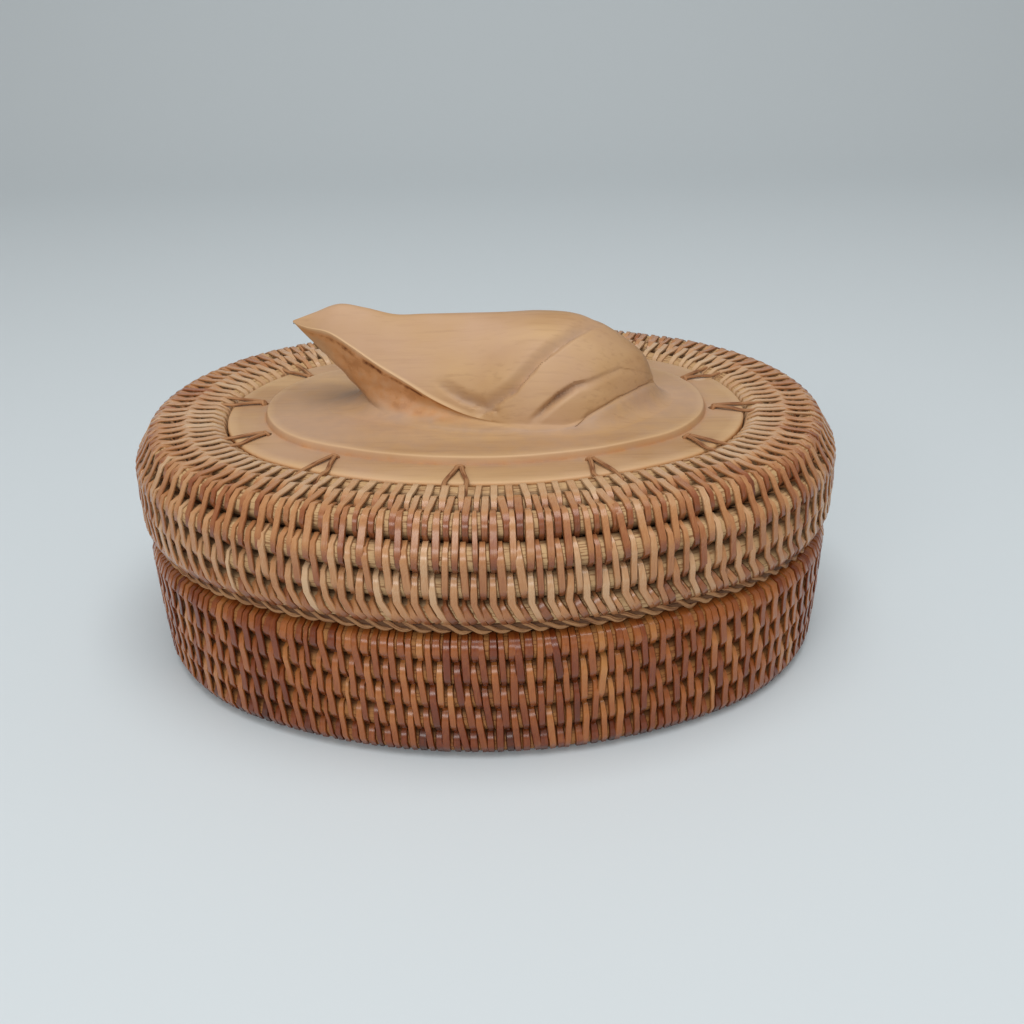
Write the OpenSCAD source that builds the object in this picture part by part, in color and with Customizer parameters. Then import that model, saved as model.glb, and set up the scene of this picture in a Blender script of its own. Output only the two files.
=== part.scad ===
// Oval lidded box of coiled rattan with a carved wooden panel in the lid.
// The walls are one core wound in level turns that step up to the next turn
// behind the figure. Each splint stitch binds a turn to the one before it.
// Plan outline: two end arcs and two side arcs that meet in line, so every
// turn, edge and ledge is the same oval set in from the outline.
// +X runs along the box, the figure looks to -X, +Z is up, the box stands on z = 0.

/* [Outline] */
// Length over the lid's shoulder
box_l = 200; // [192:1:212]
// Width over the lid's shoulder
box_w = 154; // [148:1:160]
// Radius of the long sides as a share of the length
side_bow = 0.665; // [0.6:0.005:0.8]

/* [Coil] */
// Diameter of the wound core
core_d = 5.8; // [5:0.1:7]
// Space between neighbouring turns, filled by the stitches
row_gap = 1.35; // [1.3:0.05:1.8]
// Length of the step from one turn to the next
step_l = 54; // [40:1:64]
// Length over which the coil's end thins out
taper_l = 24; // [12:1:40]
// Sides of the core's section
core_sides = 8; // [8:2:12]
// Straight pieces in the level part of a turn
level_pieces = 31; // [29:1:40]
// Straight pieces in the step to the next turn
step_pieces = 8; // [6:1:10]

/* [Stitches] */
// Width of a splint
splint_w = 1.8; // [1.4:0.1:2]
// Thickness of a splint
splint_t = 0.35; // [0.3:0.05:0.4]
// Room between core and splint
splint_gap = 0.25; // [0.2:0.05:0.3]
// Distance from stitch to stitch along the wall
stitch_pitch = 8.4; // [8:0.1:10]
// Share of a pitch by which each turn's stitches are set off from the last
stitch_shift = 0.33; // [0.31:0.01:0.36]

/* [Base] */
// Set-in of the rim below the lid's shoulder
rim_in = 0.8; // [0:0.1:3]
// How far the wall draws in from the rim to the foot
wall_draw = 0.8; // [0:0.1:4]
// Height of the foot turn's splints above the table
foot_lift = 0.1; // [0.05:0.05:0.5]
// Thickness of the floor's core
floor_d = 5.2; // [4.4:0.1:5.6]
// Sides of the floor core's section
floor_sides = 6; // [6:2:8]
// Straight pieces in one turn of the floor
floor_pieces = 20; // [20:2:32]

/* [Collar] */
// Thickness of the strip inside the rim
collar_t = 1.6; // [1:0.1:2.5]
// How far it stands above the rim
collar_rise = 8; // [4:0.5:10]
// How far it reaches down inside the wall
collar_drop = 13; // [9:0.5:14]
// Room between the strip and the stitches beside it
collar_gap = 0.3; // [0.2:0.05:0.6]

/* [Lid] */
// Room between the base's rim and the lid's border
lid_gap = 0.35; // [0.3:0.05:0.6]
// Height of the braided border
braid_h = 2.6; // [2:0.1:4]
// Thickness of the braided border
braid_t = 3.4; // [2.4:0.1:4]
// Room between the border and the turn above it
braid_gap = 0.25; // [0.2:0.05:0.5]
// Fall from the first turn to the second in degrees, a rise where negative
fall_ab = -4; // [-8:1:6]
// Fall from the second turn to the third
fall_bc = 1; // [-4:1:12]
// Fall from the third turn to the fourth, over the shoulder
fall_cd = 58; // [50:1:68]
// Fall from the fourth turn to the fifth
fall_de = 88; // [80:1:92]
// Fall from the fifth turn to the sixth, past upright
fall_ef = 91; // [88:1:98]

/* [Panel] */
// Thickness of the panel's ledge
ledge_t = 5; // [3:0.1:7]
// Width of the ledge around the raised field
ledge_w = 10.5; // [8:0.5:14]
// Height of the raised field above the ledge
field_h = 2; // [1:0.1:3]
// Width of the field's sloping edge
field_slope = 1; // [0.5:0.1:2]
// Bevel on the panel's edges
panel_bevel = 0.8; // [0.4:0.1:1.2]
// Room between the panel and the first turn's stitches
panel_gap = 0.3; // [0.2:0.05:0.6]

/* [Figure] */
// Length from snout to rump
figure_l = 102; // [90:1:108]
// Width across the haunches
figure_w = 51; // [44:1:54]
// Height of the head above the field
figure_h = 29; // [24:0.1:32]
// Place of the figure's middle along the panel
figure_x = -2; // [-6:1:6]
// Depth that the figure's foot runs into the field
figure_root = 1.5; // [1:0.1:2]
// Ribs between two stations of the carving
figure_ribs = 2; // [1:1:3]

/* [Lashings] */
// Lashings round the panel
lash_count = 12; // [9:1:14]
// Diameter of the hole that each lashing comes up through
lash_hole_d = 2.4; // [1.8:0.1:3]
// Width of a lashing's leg
lash_w = 1.3; // [0.9:0.1:1.5]
// Thickness of a lashing's leg
lash_t = 0.5; // [0.3:0.05:0.7]
// Distance of the holes from the foot of the raised field
lash_out = 1.9; // [1.8:0.1:2.5]
// Share of a round by which each leg splays to its side
lash_splay = 0.009; // [0.006:0.001:0.014]
// Room round the lashing in its hole
lash_gap = 0.1; // [0.05:0.05:0.2]

/* [Hidden] */
$fn = 64;

// The outline's four centres and radii: the ends' centres lie at end_c on X,
// the sides' at side_c on Y, and each pair of arcs meets where the normal is end_half
half_w = box_w / 2;
longer = (box_l - box_w) / 2;
half_l = box_l / 2;
side_r = side_bow * box_l;
end_c = (half_l * half_l - half_w * half_w - 2 * side_r * longer) / (2 * (half_l - side_r));
end_r = half_l - end_c;
side_c = side_r - half_w;
end_half = atan2(side_c, end_c);
side_half = 90 - end_half;

// Sizes that the coil and its stitches share
core_r = core_d / 2;
pitch = core_d + row_gap;
inner_r = core_r + splint_gap;
wrap_r = inner_r + splint_t;
tip_r = wrap_r / cos(30);

// Set-in and height of each turn of the base, foot first
rim_set = rim_in + wrap_r;
foot_z = tip_r + foot_lift;
base_rows = [for (k = [0:4]) [rim_set + wall_draw * pow(1 - k / 4, 2), foot_z + k * pitch]];
rim_z = base_rows[4][1] + tip_r;

// Set-in and height of each turn of the lid, panel side first
braid_z = rim_z + lid_gap;
row_f = [wrap_r - pitch * cos(fall_ef), braid_z + braid_h + braid_gap + tip_r];
row_e = [wrap_r, row_f[1] + pitch * sin(fall_ef)];
row_d = row_e + pitch * [cos(fall_de), sin(fall_de)];
row_c = row_d + pitch * [cos(fall_cd), sin(fall_cd)];
row_b = row_c + pitch * [cos(fall_bc), sin(fall_bc)];
row_a = row_b + pitch * [cos(fall_ab), sin(fall_ab)];
lid_rows = [row_a, row_b, row_c, row_d, row_e, row_f];

// Panel, flush with the top of the first turn's core
panel_set = row_a[0] + tip_r + panel_gap;
ledge_z = row_a[1] + core_r;
field_z = ledge_z + field_h;
hole_set = panel_set + ledge_w - lash_out;

// Lengths along the wall's middle line, and the number of stitches in a turn,
// which isn't whole, so that they run on evenly from turn to turn
end_len = (end_r - rim_set) * end_half * PI / 90;
side_len = (side_r - rim_set) * side_half * PI / 90;
round_len = 2 * (end_len + side_len);
stitch_count = floor(round_len / stitch_pitch) + 1 - stitch_shift;
step_share = step_l / round_len;
taper_share = taper_l / round_len;

// Direction of the wall's outward normal at a share f of the way round
function normal_at(f) =
    let (s = (f - floor(f)) * round_len + side_len / 2)
    let (t = s >= round_len ? s - round_len : s)
    t < side_len ? end_half + t / side_len * 2 * side_half :
    t < side_len + end_len ? 180 - end_half + (t - side_len) / end_len * 2 * end_half :
    t < 2 * side_len + end_len
        ? 180 + end_half + (t - side_len - end_len) / side_len * 2 * side_half :
    360 - end_half + (t - 2 * side_len - end_len) / end_len * 2 * end_half;

// Point of the oval that is set in from the outline, where its normal is a
function oval_at(a, set_in) =
    let (b = (a + 360) % 360)
    let (on_right = b < end_half || b > 360 - end_half)
    let (on_left = abs(b - 180) < end_half)
    let (c = on_right ? [end_c, 0] : on_left ? [-end_c, 0] : [0, b < 180 ? -side_c : side_c])
    let (r = on_right || on_left ? end_r : side_r)
    c + (r - set_in) * [cos(a), sin(a)];

// How far a turn's corners stand out so that its straight pieces keep to the oval
level_len = (round_len - step_l) / level_pieces;
function stand_out(a, set_in) =
    level_len * level_len / 16 / ((abs(cos(a)) > cos(end_half) ? end_r : side_r) - set_in);

function ease(t) = t <= 0 ? 0 : t >= 1 ? 1 : t * t * (3 - 2 * t);

// Set-in and height of the core after u turns: level, then a step to the next turn that
// swings out where the wall turns a corner, so that the turns keep their distance
function wound(rows, u) =
    let (last = len(rows) - 1, k = min(floor(u), last), n = min(k + 1, last))
    let (t = ease((u - k - 1 + step_share) / step_share))
    let (before = k > 0 ? rows[k - 1] : 2 * rows[0] - rows[1])
    let (after = n < last ? rows[n + 1] : 2 * rows[n] - rows[n - 1])
    let (swing = n > k ? rows[k] - before + rows[n] - after : [0, 0])
    rows[k] + (rows[n] - rows[k]) * t + swing * t * (1 - t) * 0.7;

// The last turn stops before the step and thins out
function last_share(rows, k) = k == len(rows) - 1 ? 1 - step_share : 1;
function thinned(rows, k, f) =
    k < len(rows) - 1 ? 1 : 1 - 0.5 * ease((f - last_share(rows, k) + taper_share) / taper_share);

// One ring of points round the core, flat side down
function core_ring(p, a, z, r, sides) = [
    for (j = [0:sides - 1])
        let (w = 270 + (j + 0.5) * 360 / sides)
        [p[0] + r * cos(w) * cos(a), p[1] + r * cos(w) * sin(a), z + r * sin(w)]];

// Skin of a tube of rings that are sides points long
function tube_faces(rings, sides) = concat(
    [[for (j = [0:sides - 1]) sides - 1 - j]],
    [[for (j = [0:sides - 1]) (rings - 1) * sides + j]],
    [for (i = [0:rings - 2], j = [0:sides - 1], h = [0, 1])
        let (n = (j + 1) % sides)
        h == 0
            ? [i * sides + j, i * sides + n, (i + 1) * sides + j]
            : [(i + 1) * sides + j, i * sides + n, (i + 1) * sides + n]]);

// One turn of a wall's core: level pieces, then shorter ones in the step
module turn(rows, k) {
    last = k == len(rows) - 1 ? level_pieces : level_pieces + step_pieces;
    points = [for (i = [0:last])
        let (n = min(i, level_pieces), m = i - n)
        let (f = n * (1 - step_share) / level_pieces + m * step_share / step_pieces)
        let (w = wound(rows, k + f), a = normal_at(f), r = core_r * thinned(rows, k, f))
        let (p = oval_at(a, w[0] - (m > 0 ? 0 : stand_out(a, w[0]))))
        each core_ring(p, a, w[1] - (core_r - r) * 0.8, r, core_sides)];
    polyhedron(points, tube_faces(last + 1, core_sides), convexity = 8);
}

// Half-widths of the floor's turns, from the folded start out to the foot turn
floor_first = core_r + 0.5;
floor_last = half_w - base_rows[0][0];
floor_turns = floor((floor_last - floor_first) / pitch);
floor_pitch = (floor_last - floor_first) / floor_turns;
floor_r = floor_d / 2 / cos(180 / floor_sides);
floor_z = floor_d / 2;

function side_radius(half, c) = (c * c + half * half - pow(half + longer - c, 2)) / (2 * (c - longer));

// Arcs of the floor's oval of this half-width, round-ended in the middle of the floor and
// of the outline's own shape at the foot: end centre, end and side radius, end angle
function floor_oval(half) =
    let (c = longer + (end_c - longer) * max(0.04, ease(half / floor_last)))
    let (s_r = side_radius(half, c))
    [c, half + longer - c, s_r, atan2(s_r - half, c)];
function floor_round(o) = (o[1] * o[3] + o[2] * (90 - o[3])) * PI / 45;

// Level turns, each with a step outwards over the second half of the wall's step
function floor_risen(t, u) =
    floor(t) + ease(1 - (1 - t + floor(t)) * floor_round(floor_oval(floor_first + floor_pitch * u)) * 2 / step_l);
function floor_step(t) = floor_risen(t, floor_risen(t, floor_risen(t, floor(t) + 0.5)));

// Point and normal of the floor's coil after t turns
function floor_at(t) =
    let (u = floor_step(t), half = floor_first + floor_pitch * u, o = floor_oval(half))
    let (s_half = 90 - o[3], e_len = o[1] * o[3], s_len = o[2] * s_half)
    let (s = (t - floor(t)) * 4 * (e_len + s_len))
    let (a = s < s_len ? 90 + s / o[2] :
        s < s_len + 2 * e_len ? 180 - o[3] + (s - s_len) / o[1] :
        s < 3 * s_len + 2 * e_len ? 180 + o[3] + (s - s_len - 2 * e_len) / o[2] :
        s < 3 * s_len + 4 * e_len ? 360 - o[3] + (s - 3 * s_len - 2 * e_len) / o[1] :
        360 + o[3] + (s - 3 * s_len - 4 * e_len) / o[2])
    let (on_end = abs(cos(a)) > cos(o[3]))
    let (m = on_end ? [o[0] * sign(cos(a)), 0] : [0, (half - o[2]) * sign(sin(a))])
    let (p = m + (on_end ? o[1] : o[2]) * [cos(a), sin(a)])
    let (z = floor_z + (base_rows[0][1] - floor_z) * max(0, u - floor_turns + 1))
    [p[0], p[1], z, a];

floor_rings = floor_turns * floor_pieces;
floor_path = [for (i = [0:floor_rings]) floor_at(min(i / floor_pieces, floor_turns - 0.0001))];

// Least gap between neighbouring turns, measured on their points
wall_gaps = [for (rows = [base_rows, lid_rows], u = [0:0.02:len(rows) - 1 - step_share])
    norm(wound(rows, u + 1) - wound(rows, u)) - core_d];
floor_gaps = [for (i = [0:floor_rings - floor_pieces], j = [-4:4])
    let (n = min(i + floor_pieces + j, floor_rings))
    let (p = floor_path[i], q = floor_path[n])
    norm([p[0] - q[0], p[1] - q[1], p[2] - q[2]]) - 2 * floor_r];
echo(least_gap_in_walls = min(wall_gaps), least_gap_in_floor = min(floor_gaps));

// A splint round two neighbouring turns, or round one where both are the same
module band(a, from, to) {
    run = norm(to - from);
    middle = (from + to) / 2;
    p = oval_at(a, middle[0]);
    translate([p[0], p[1], middle[1]])
        rotate([0, 0, a])
            rotate([90, 0, 0])
                linear_extrude(height = splint_w, center = true)
                    rotate(run > 0 ? atan2(to[1] - from[1], from[0] - to[0]) : 90)
                        difference() {
                            long_hexagon(run, wrap_r);
                            long_hexagon(run, inner_r);
                        }
}

// Hexagon about a circle of radius r, drawn out along X
module long_hexagon(run, r) {
    x = r * tan(30);
    tip = r / cos(30);
    polygon([
        [run / 2 + tip, 0], [run / 2 + x, r], [-run / 2 - x, r],
        [-run / 2 - tip, 0], [-run / 2 - x, -r], [run / 2 + x, -r]]);
}

// All stitches that bind turn k to the turn before it
module stitches(rows, k) {
    for (i = [0:stitch_count]) {
        f = (i + (k * stitch_shift) % 1) / stitch_count;
        if (f < last_share(rows, k) - (k == len(rows) - 1 ? taper_share : 0))
            band(normal_at(f), wound(rows, k - 1 + f), wound(rows, k + f));
    }
}

// Short wraps round the last turn alone, between its long stitches
module wraps(rows) {
    k = len(rows) - 1;
    for (i = [0:stitch_count]) {
        f = (i + (k * stitch_shift + (1 - stitch_shift) / 2) % 1) / stitch_count;
        if (f < last_share(rows, k) - taper_share)
            band(normal_at(f), wound(rows, k + f), wound(rows, k + f));
    }
}

// Plan of the oval that is set in from the outline
module oval(set_in, pieces) {
    polygon([for (i = [0:pieces - 1]) oval_at(normal_at(i / pieces), set_in)]);
}

module base_floor() {
    color("#9c6a3c")
        polyhedron(
            [for (s = floor_path) each core_ring(s, s[3], s[2], floor_r, floor_sides)],
            tube_faces(floor_rings + 1, floor_sides), convexity = 12);
}

module base_row_1() { color("#b98550") turn(base_rows, 0); }
module base_row_2() { color("#b98550") turn(base_rows, 1); }
module base_row_3() { color("#b98550") turn(base_rows, 2); }
module base_row_4() { color("#b98550") turn(base_rows, 3); }
module base_row_5() { color("#b98550") turn(base_rows, 4); }

module base_stitches_2() { color("#9a5a30") stitches(base_rows, 1); }
module base_stitches_3() { color("#9a5a30") stitches(base_rows, 2); }
module base_stitches_4() { color("#9a5a30") stitches(base_rows, 3); }
module base_stitches_5() { color("#8f5029") stitches(base_rows, 4); }

module base_rim_wraps() { color("#8f5029") wraps(base_rows); }

// Strip inside the rim that keeps the lid in place
collar_set = max(base_rows[3][0], base_rows[4][0], row_f[0]) + wrap_r + collar_gap;
module base_collar() {
    color("#a9733f")
        translate([0, 0, rim_z - collar_drop])
            linear_extrude(height = collar_drop + collar_rise)
                difference() {
                    oval(collar_set, 2 * level_pieces);
                    oval(collar_set + collar_t, 2 * level_pieces);
                }
}

module lid_row_a() { color("#c39a66") turn(lid_rows, 0); }
module lid_row_b() { color("#c39a66") turn(lid_rows, 1); }
module lid_row_c() { color("#c39a66") turn(lid_rows, 2); }
module lid_row_d() { color("#c39a66") turn(lid_rows, 3); }
module lid_row_e() { color("#c39a66") turn(lid_rows, 4); }
module lid_row_f() { color("#c39a66") turn(lid_rows, 5); }

module lid_stitches_b() { color("#b98a5c") stitches(lid_rows, 1); }
module lid_stitches_c() { color("#b07a48") stitches(lid_rows, 2); }
module lid_stitches_d() { color("#a86c3c") stitches(lid_rows, 3); }
module lid_stitches_e() { color("#a86c3c") stitches(lid_rows, 4); }
module lid_stitches_f() { color("#a86c3c") stitches(lid_rows, 5); }

// Braided border on the lid's lower edge, a plain rounded strand
module lid_braid() {
    n = 8;
    points = [for (i = [0:level_pieces - 1], j = [0:n - 1])
        let (a = normal_at(i / level_pieces), w = 270 + (j + 0.5) * 360 / n)
        let (p = oval_at(a, row_f[0] - braid_t / 2 / cos(180 / n) * cos(w)))
        [p[0], p[1], braid_z + braid_h / 2 + braid_h / 2 / cos(180 / n) * sin(w)]];
    faces = [for (i = [0:level_pieces - 1], j = [0:n - 1], h = [0, 1])
        let (k = (j + 1) % n, m = (i + 1) % level_pieces)
        h == 0 ? [i * n + j, i * n + k, m * n + j] : [m * n + j, i * n + k, m * n + k]];
    color("#94552c")
        polyhedron(points, faces, convexity = 6);
}

// Flat-sided block of ovals, each given by its set-in and height, lowest first
arc_pieces = round(level_pieces / 2);
function arc_angle(i) =
    let (q = floor(i / arc_pieces), t = i / arc_pieces - q)
    q % 2 == 0 ? 90 * q + end_half * (2 * t - 1) : 90 * q + side_half * (2 * t - 1);
module block(ovals) {
    n = 4 * arc_pieces;
    top = len(ovals) - 1;
    points = [for (s = ovals, i = [0:n - 1])
        let (p = oval_at(arc_angle(i), s[0]))
        [p[0], p[1], s[1]]];
    sides = [for (k = [0:top - 1], i = [0:n - 1])
        let (m = (i + 1) % n)
        [k * n + i, (k + 1) * n + i, (k + 1) * n + m, k * n + m]];
    polyhedron(
        points,
        concat([[for (i = [0:n - 1]) i]], [[for (i = [0:n - 1]) top * n + n - 1 - i]], sides),
        convexity = 4);
}

// Ledge with bevelled edges, and the raised field with its rounded sloping edge
module panel_board() {
    low = ledge_z - ledge_t;
    foot = panel_set + ledge_w;
    block([
        [panel_set + panel_bevel, low], [panel_set, low + panel_bevel],
        [panel_set, ledge_z - panel_bevel], [panel_set + panel_bevel, ledge_z]]);
    block([
        [foot, ledge_z - figure_root], [foot, ledge_z],
        [foot + field_slope * 0.3, ledge_z + field_h * 0.2],
        [foot + field_slope * 0.7, ledge_z + field_h * 0.85],
        [foot + field_slope * 1.6, field_z]]);
}

// Stations of the crouching figure, in hundredths of its length, half-width and height:
// spine x and z, then the sharp edge of the flank x, y and z, then the foot x and y,
// then how full the flank is between the edge and the spine
stations = [
    [0, 85, 0, 3, 83, 15, 6, 30],
    [6, 92, 4, 10, 80, 15.5, 14, 35],
    [13, 100, 10, 21, 78, 17, 22, 45],
    [20, 96, 16, 31, 67, 20, 36, 45],
    [28, 89, 23, 40, 51, 25, 53, 45],
    [36, 89, 31, 49, 35, 32, 69, 45],
    [44, 89, 39, 58, 19, 41, 83, 50],
    [52, 89, 48, 70, 8, 50, 91, 55],
    [60, 89, 58, 87, 6, 59, 95, 60],
    [68, 89, 67, 95, 7, 67, 100, 65],
    [76, 87, 75, 91, 7, 75, 96, 65],
    [83, 79, 83, 74, 7, 83, 79, 65],
    [90, 64, 90, 51, 6, 91, 57, 65],
    [96, 44, 96, 27, 5, 97, 33, 65],
    [99.5, 10, 100, 7, 3, 100.7, 10, 65]];

// Smooth values between two stations
function blend(p, q, r, s, t) =
    0.5 * (2 * q + (r - p) * t + (2 * p - 5 * q + 4 * r - s) * t * t + (3 * q - p - 3 * r + s) * t * t * t);
function station(v) =
    let (n = len(stations) - 1, k = min(floor(v), n - 1))
    blend(stations[max(k - 1, 0)], stations[k], stations[k + 1], stations[min(k + 2, n)], v - k);

function bend(p, q, r, t) = p * (1 - t) * (1 - t) + q * 2 * t * (1 - t) + r * t * t;

// Half a rib: up from the root past the foot and the edge to the spine
flank_steps = 6;
chest_steps = 4;
function half_rib(s) =
    let (size = [figure_l, figure_w / 2, figure_h] / 100)
    let (spine = [s[0] * size[0], 0, s[1] * size[2]])
    let (edge = [s[2] * size[0], s[3] * size[1], s[4] * size[2]])
    let (foot = [s[5] * size[0], s[6] * size[1], -figure_root / 3])
    let (hollow = [edge[0] * 0.4 + foot[0] * 0.6, edge[1] * 0.75 + foot[1] * 0.15, edge[2] * 0.2])
    let (full = [edge[0] / 2 + spine[0] / 2, edge[1], spine[2]])
    let (brow = (edge + spine) / 2 * (1 - s[7] / 100) + full * s[7] / 100)
    concat(
        [[foot[0], foot[1], -figure_root]],
        [for (i = [0:chest_steps - 1]) bend(foot, hollow, edge, i / chest_steps)],
        [for (i = [0:flank_steps]) bend(edge, brow, spine, i / flank_steps)]);

module figure() {
    last = (len(stations) - 1) * figure_ribs;
    half = chest_steps + flank_steps + 2;
    size = 2 * half - 1;
    points = [for (i = [0:last])
        let (h = half_rib(station(i / figure_ribs)))
        each concat(h, [for (j = [half - 2:-1:0]) [h[j][0], -h[j][1], h[j][2]]])];
    sides = [for (i = [0:last - 1], j = [0:size - 1], h = [0, 1])
        let (n = (j + 1) % size)
        h == 0
            ? [i * size + j, (i + 1) * size + j, i * size + n]
            : [(i + 1) * size + j, (i + 1) * size + n, i * size + n]];
    ends = [for (b = [0, last * size], j = [0:half - 2], h = [0, 1])
        let (p = b + j, q = b + j + 1, m = b + size - 2 - j, n = b + size - 1 - j)
        let (f = h == 0 ? [p, n, q] : [q, n, m])
        b == 0 ? [f[0], f[2], f[1]] : f];
    real_ends = [for (f = ends) if (f[0] != f[1] && f[1] != f[2] && f[0] != f[2]) f];
    translate([figure_x - figure_l / 2, 0, field_z])
        polyhedron(points, concat(sides, real_ends), convexity = 6);
}

// Normal direction at each lashing, one in front of the figure
function lash_at(i) = normal_at(0.485 + i / lash_count);

module carved_panel() {
    color("#cda069")
        difference() {
            union() {
                panel_board();
                figure();
            }
            for (i = [0:lash_count - 1]) {
                p = oval_at(lash_at(i), hole_set);
                translate([p[0], p[1], ledge_z - ledge_t - lash_t])
                    cylinder(d = lash_hole_d, h = ledge_t + 2 * lash_t);
            }
        }
}

// Flat strip on the ledge between two points, with a round end
module lash_strip(from, to) {
    run = to - from;
    translate([from[0], from[1], ledge_z])
        rotate([0, 0, atan2(run[1], run[0])])
            translate([0, -lash_w / 2, 0])
                cube([norm(run), lash_w, lash_t]);
    translate([to[0], to[1], ledge_z])
        cylinder(d = lash_w * 1.2, h = lash_t);
}

// One leg from a hole out over the ledge, then straight over the first turn between two stitches
module lash_leg(from, i, turn_way) {
    want = (0.485 + i / lash_count + turn_way * lash_splay) % 1;
    slot = (floor(want * stitch_count - stitch_shift) + 0.5 + stitch_shift) / stitch_count;
    edge = oval_at(normal_at(slot), panel_set - panel_gap);
    lash_strip(from, edge);
    lash_strip(edge, oval_at(normal_at(slot), row_a[0]));
}

module lid_lashings() {
    color("#8a5630")
        for (i = [0:lash_count - 1]) {
            p = oval_at(lash_at(i), hole_set);
            union() {
                translate([p[0], p[1], ledge_z - ledge_t])
                    cylinder(d = lash_hole_d - 2 * lash_gap, h = ledge_t + lash_t);
                lash_leg(p, i, -1);
                lash_leg(p, i, 1);
            }
        }
}

base_floor();
base_row_1();
base_row_2();
base_row_3();
base_row_4();
base_row_5();
base_stitches_2();
base_stitches_3();
base_stitches_4();
base_stitches_5();
base_rim_wraps();
base_collar();
lid_row_a();
lid_row_b();
lid_row_c();
lid_row_d();
lid_row_e();
lid_row_f();
lid_stitches_b();
lid_stitches_c();
lid_stitches_d();
lid_stitches_e();
lid_stitches_f();
lid_braid();
carved_panel();
lid_lashings();
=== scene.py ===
# Oval lidded box of coiled rattan with a carved wooden panel set into the lid.
# It follows the box as it is made: floor, wall, stitches, rim and collar, then the
# lid's coil, stitches and border, the panel and its lashings, and last the studio.
import math
import random

import bpy
from mathutils import Matrix, Vector, noise


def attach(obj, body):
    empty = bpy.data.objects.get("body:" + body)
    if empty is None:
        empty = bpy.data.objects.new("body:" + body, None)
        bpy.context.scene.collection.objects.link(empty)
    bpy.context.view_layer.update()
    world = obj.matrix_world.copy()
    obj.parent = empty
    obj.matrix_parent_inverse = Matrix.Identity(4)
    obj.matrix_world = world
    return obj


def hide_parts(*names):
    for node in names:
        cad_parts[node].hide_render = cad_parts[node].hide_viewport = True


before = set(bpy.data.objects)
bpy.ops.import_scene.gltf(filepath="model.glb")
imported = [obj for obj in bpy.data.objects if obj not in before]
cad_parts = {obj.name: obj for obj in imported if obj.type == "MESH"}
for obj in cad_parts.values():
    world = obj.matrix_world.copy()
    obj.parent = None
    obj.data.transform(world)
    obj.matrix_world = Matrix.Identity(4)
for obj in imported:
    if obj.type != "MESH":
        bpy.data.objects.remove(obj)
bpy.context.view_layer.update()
bpy.ops.object.select_all(action="DESELECT")

# Floor: the start of the coil, one long rattan core wound flat from the middle
# outwards, each turn laid beside the last. Behind the figure every turn steps out
# to the next, and the last one climbs into the wall. The box stands on it.
mm = 0.001
pitch = 7.15
core_radius = 3.6
half_width = 77.0
longer = 23.0
end_centre = 31.015
foot_set_in = 5.1
foot_height = 4.14
step_length = 54.0
floor_radius = 2.1
floor_height = 2.6
floor_first = 3.4
floor_last = half_width - foot_set_in
floor_turns = int((floor_last - floor_first) / pitch)
floor_pitch = (floor_last - floor_first) / floor_turns


def ease(share):
    share = min(1.0, max(0.0, share))
    return share * share * (3 - 2 * share)


def side_radius(half, centre):
    return (centre**2 + half**2 - (half + longer - centre) ** 2) / (2 * (centre - longer))


def floor_oval(half):
    """Centre and radius of the ends, radius of the sides and the angle where they meet."""
    centre = longer + (end_centre - longer) * max(0.04, ease(half / floor_last))
    side = side_radius(half, centre)
    return centre, half + longer - centre, side, math.atan2(side - half, centre)


def oval_length(end, side, corner):
    return 4 * (end * corner + side * (math.pi / 2 - corner))


def oval_normal(share, end, side, corner):
    """Angle of an oval's outward normal after a share of a round that starts at the back."""
    run = share % 1 * oval_length(end, side, corner) + side * (math.pi / 2 - corner)
    angle = corner
    for radius, sweep in 2 * [(side, math.pi - 2 * corner), (end, 2 * corner)]:
        if run < radius * sweep:
            break
        run -= radius * sweep
        angle += sweep
    else:
        radius = side
    return angle + run / radius


def oval_point(angle, centre, end, side, offset, corner):
    """Place on an oval where its normal has the angle. The centres of its sides lie offset away."""
    x = math.cos(angle)
    y = math.sin(angle)
    if abs(x) > math.cos(corner):
        return math.copysign(centre, x) + end * x, end * y
    return side * x, side * y - math.copysign(offset, y)


def floor_step(turns):
    """Turns that the floor's coil has grown by, which happens only at the back."""
    whole = math.floor(turns)
    step = whole + 0.5
    for _ in range(3):
        length = oval_length(*floor_oval(floor_first + floor_pitch * step)[1:])
        step = whole + ease(1 - (1 - turns + whole) * length * 2 / step_length)
    return step


def floor_at(turns):
    """Point of the floor's coil after a number of turns."""
    step = floor_step(turns)
    half = floor_first + floor_pitch * step
    centre, end, side, corner = floor_oval(half)
    angle = oval_normal(turns, end, side, corner)
    climb = max(0.0, step - floor_turns + 1)
    height = floor_height + (foot_height - floor_height) * climb
    return Vector((*oval_point(angle, centre, end, side, side - half, corner), height))


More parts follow.
